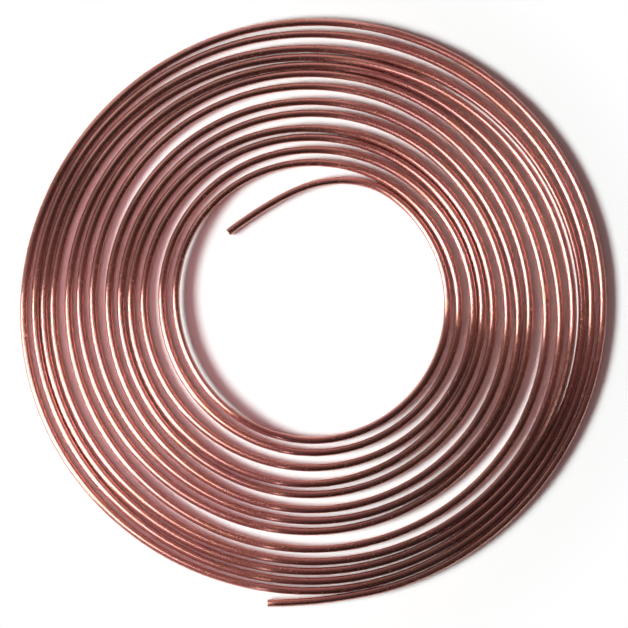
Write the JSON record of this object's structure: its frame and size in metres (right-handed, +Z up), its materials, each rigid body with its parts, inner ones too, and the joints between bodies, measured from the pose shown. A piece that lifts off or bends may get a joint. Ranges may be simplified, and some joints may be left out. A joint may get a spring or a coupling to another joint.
{
  "type": "copper tube coil",
  "caption": "Soft copper tube wound into a flat, open spiral coil with two free, square-cut ends.",
  "frame": {"origin": "on the floor, under the middle of the coil's bounding box", "axes": "+Z up through the coil's open middle; the outer end leaves at the -Y side, heading -X"},
  "size_m": [0.4898, 0.492, 0.0109],
  "materials": {
    "copper": "bright drawn copper, glossy"
  },
  "bodies": {
    "root": {"copper_tube": "copper"}
  },
  "joints": []
}
